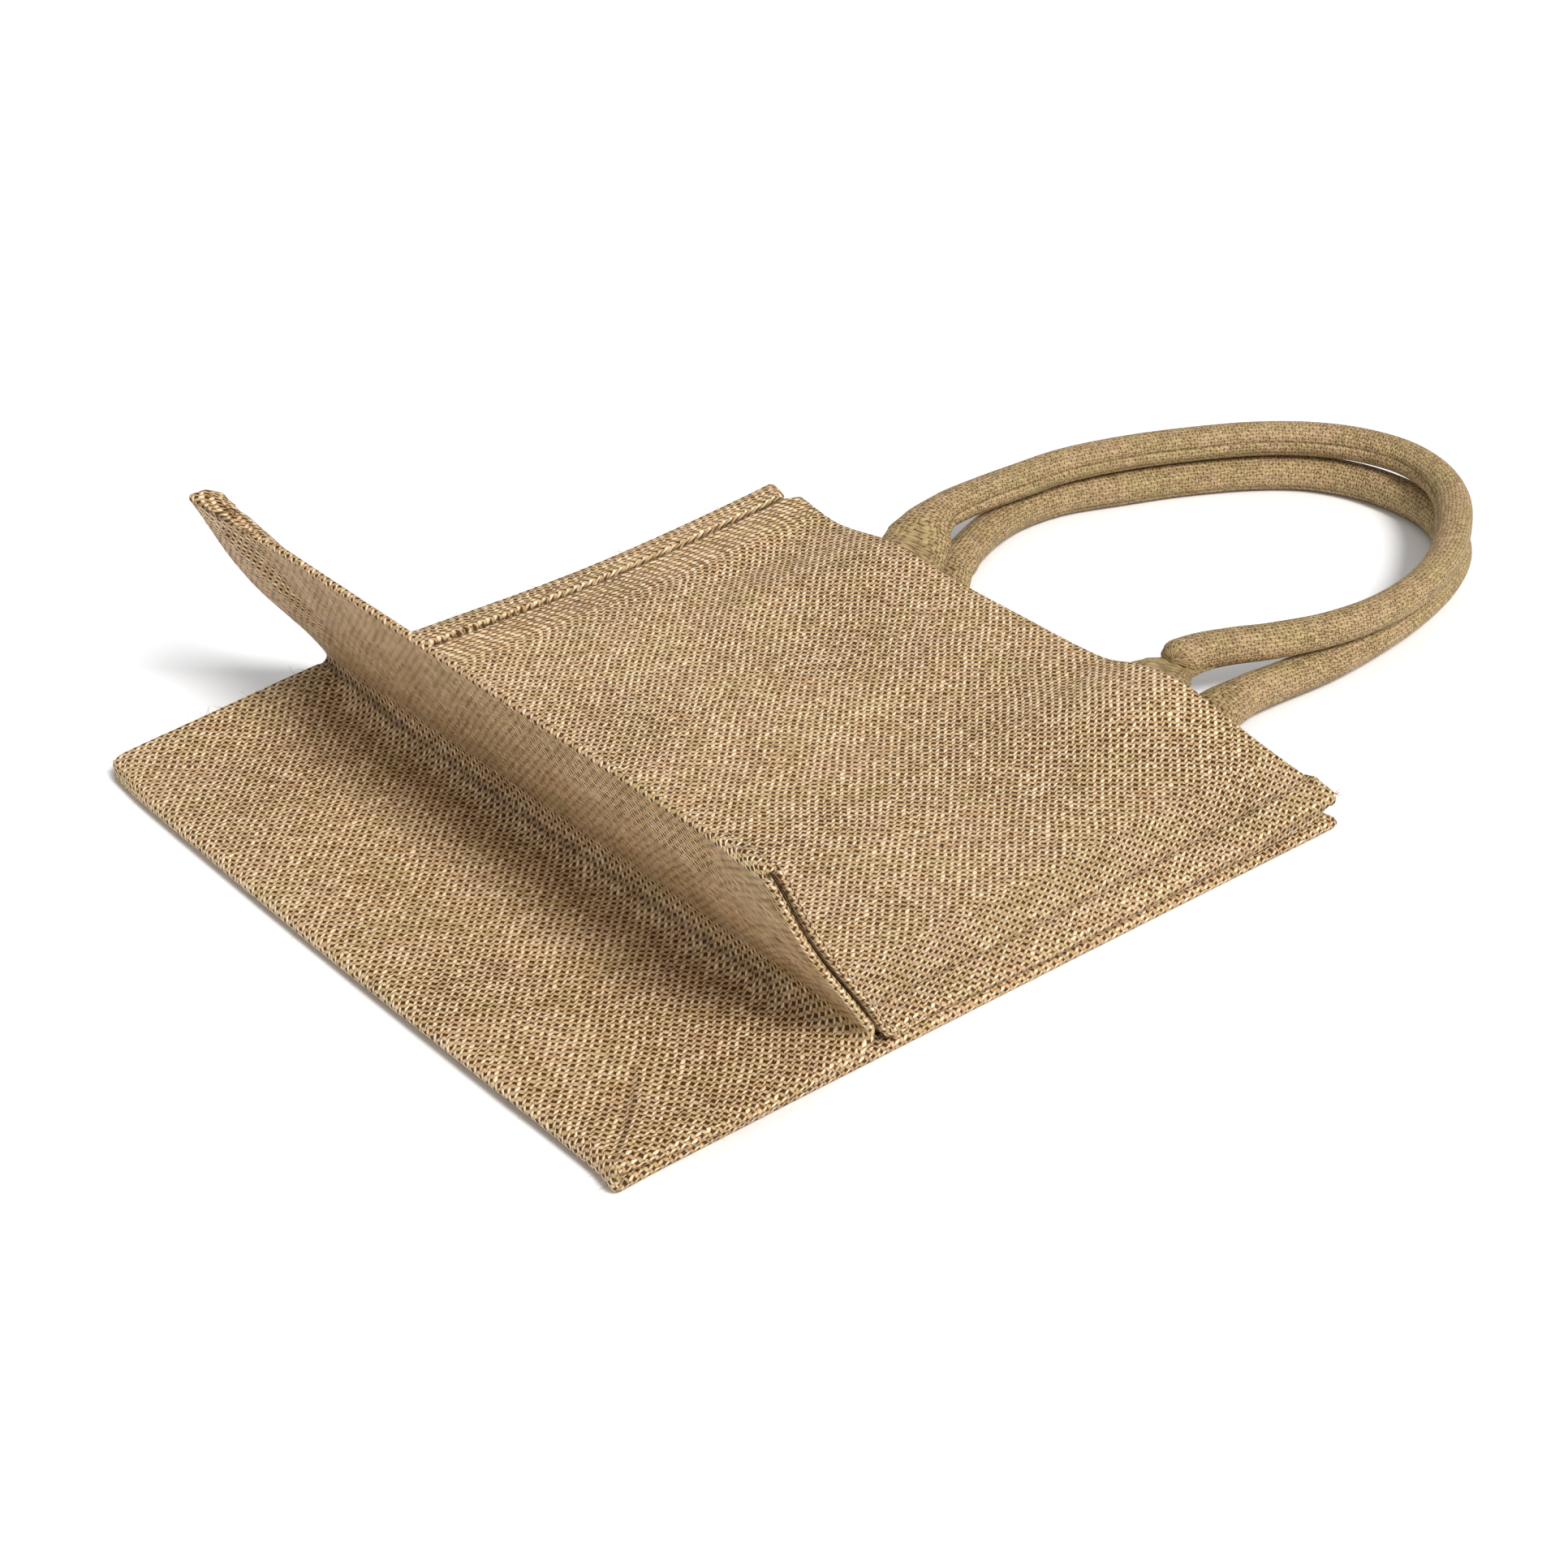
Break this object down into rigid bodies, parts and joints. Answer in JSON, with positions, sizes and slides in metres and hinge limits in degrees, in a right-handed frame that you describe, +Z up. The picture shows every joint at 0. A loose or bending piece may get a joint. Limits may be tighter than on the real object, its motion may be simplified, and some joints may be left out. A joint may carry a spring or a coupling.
{
  "type": "jute tote bag",
  "caption": "Plain woven jute shopping bag with a boxed base and round webbing handles, lying flat on its front with the base flap standing up.",
  "frame": {"origin": "middle of the footprint's bounding box, on the surface that the bag lies on", "axes": "+X from the bottom fold towards the mouth and handles, +Y from the near side seam to the far one, +Z up from the surface"},
  "size_m": [0.5132, 0.2955, 0.0945],
  "materials": {
    "jute_cloth": "matt open plain weave, undyed",
    "jute_webbing": "matt dense weave, undyed"
  },
  "bodies": {
    "root": {"body_cloth": "jute_cloth", "gusset_near": "jute_cloth", "gusset_far": "jute_cloth", "handle_lower": "jute_webbing", "handle_upper": "jute_webbing"}
  },
  "joints": []
}
